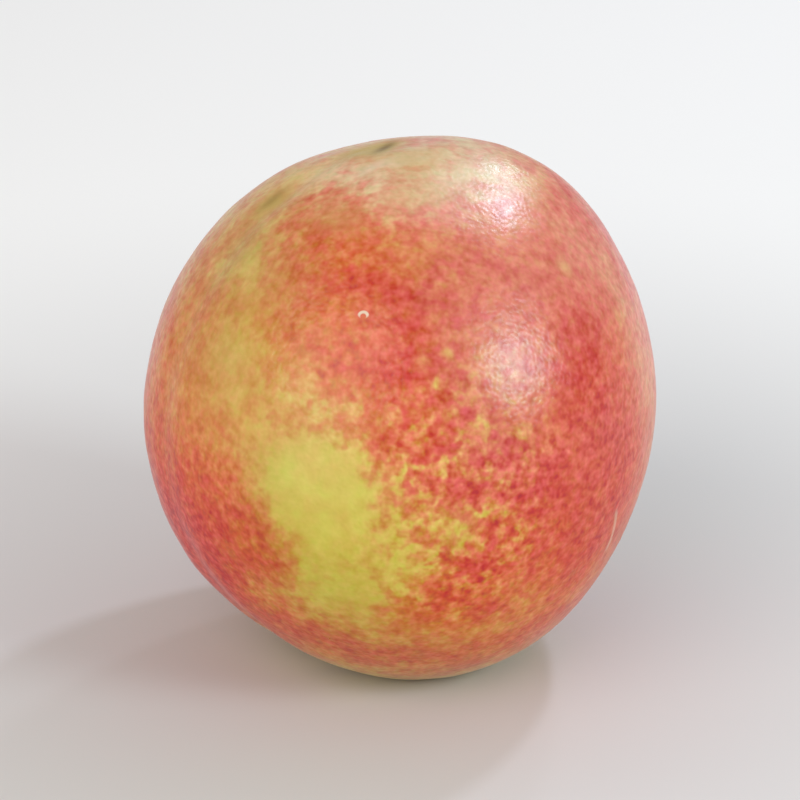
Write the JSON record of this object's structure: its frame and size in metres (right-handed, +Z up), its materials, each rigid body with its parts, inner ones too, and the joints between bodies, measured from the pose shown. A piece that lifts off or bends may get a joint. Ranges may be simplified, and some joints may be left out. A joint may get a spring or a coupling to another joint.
{
  "type": "peach",
  "caption": "Whole ripe peach, round with a fuller shoulder, a shallow suture, a small pit at the tip and a stem cavity in the flat-rimmed bottom; decorative food.",
  "frame": {"origin": "on the surface the fruit stands on, at the middle of the fruit's box seen from above", "axes": "+Z up, out of the tip end; -Y is the front, where the ground colour shows most; +X to the right"},
  "size_m": [0.075, 0.0758, 0.0774],
  "materials": {
    "skin": "downy peach skin: yellow-green ground under mottled orange and red blush, soft sheen"
  },
  "bodies": {
    "root": {"peach": "skin"}
  },
  "joints": []
}
